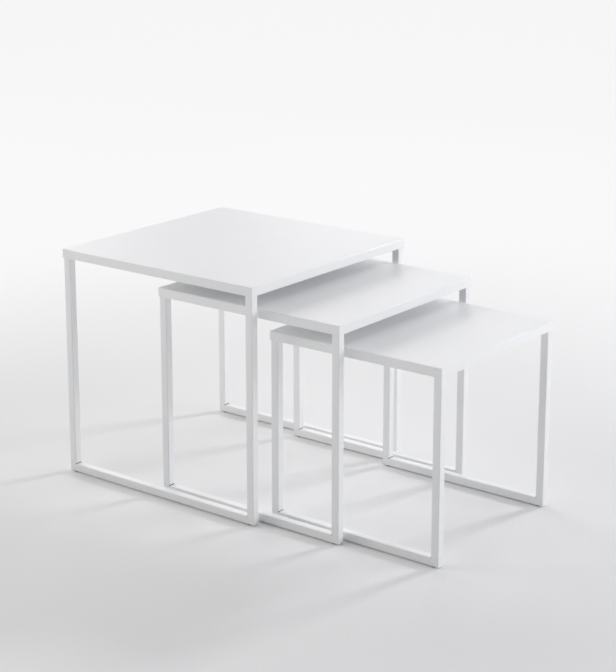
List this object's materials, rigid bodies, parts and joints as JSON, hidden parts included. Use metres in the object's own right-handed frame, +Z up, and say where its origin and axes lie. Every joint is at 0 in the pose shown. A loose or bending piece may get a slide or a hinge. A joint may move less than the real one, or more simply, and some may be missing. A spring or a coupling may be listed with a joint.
{
  "type": "nesting tables",
  "caption": "Square powder-coated steel side tables with folded tray tops on square-tube side frames, each sliding under the next larger one.",
  "frame": {"origin": "on the floor under the middle of the whole set as it stands pulled out", "axes": "+X across the tables from the left side frame to the right one, +Y towards the rear, into which the smaller tables slide, +Z up"},
  "size_m": [0.45, 0.803, 0.432],
  "materials": {
    "white_powder_coat": "satin fine-texture powder coat, white",
    "glide_plastic": "matte moulded"
  },
  "bodies": {
    "large_table": {"large_tray_top": "white_powder_coat", "large_tray_stiffener": "white_powder_coat", "large_left_front_leg": "white_powder_coat", "large_left_rear_leg": "white_powder_coat", "large_left_floor_rail": "white_powder_coat", "large_left_top_rail": "white_powder_coat", "large_right_front_leg": "white_powder_coat", "large_right_rear_leg": "white_powder_coat", "large_right_floor_rail": "white_powder_coat", "large_right_top_rail": "white_powder_coat", "large_glides": "glide_plastic"},
    "medium_table": {"medium_tray_top": "white_powder_coat", "medium_tray_stiffener": "white_powder_coat", "medium_left_front_leg": "white_powder_coat", "medium_left_rear_leg": "white_powder_coat", "medium_left_floor_rail": "white_powder_coat", "medium_left_top_rail": "white_powder_coat", "medium_right_front_leg": "white_powder_coat", "medium_right_rear_leg": "white_powder_coat", "medium_right_floor_rail": "white_powder_coat", "medium_right_top_rail": "white_powder_coat", "medium_glides": "glide_plastic"},
    "small_table": {"small_tray_top": "white_powder_coat", "small_tray_stiffener": "white_powder_coat", "small_left_front_leg": "white_powder_coat", "small_left_rear_leg": "white_powder_coat", "small_left_floor_rail": "white_powder_coat", "small_left_top_rail": "white_powder_coat", "small_right_front_leg": "white_powder_coat", "small_right_rear_leg": "white_powder_coat", "small_right_floor_rail": "white_powder_coat", "small_right_top_rail": "white_powder_coat", "small_glides": "glide_plastic"}
  },
  "joints": [
    {"name": "medium_table_slide", "type": "slide", "parent": "large_table", "child": "medium_table", "axis": [0, -1, 0], "range_m": [-0.19, 0.256]},
    {"name": "small_table_slide", "type": "slide", "parent": "medium_table", "child": "small_table", "axis": [0, -1, 0], "range_m": [-0.211, 0.187]}
  ]
}
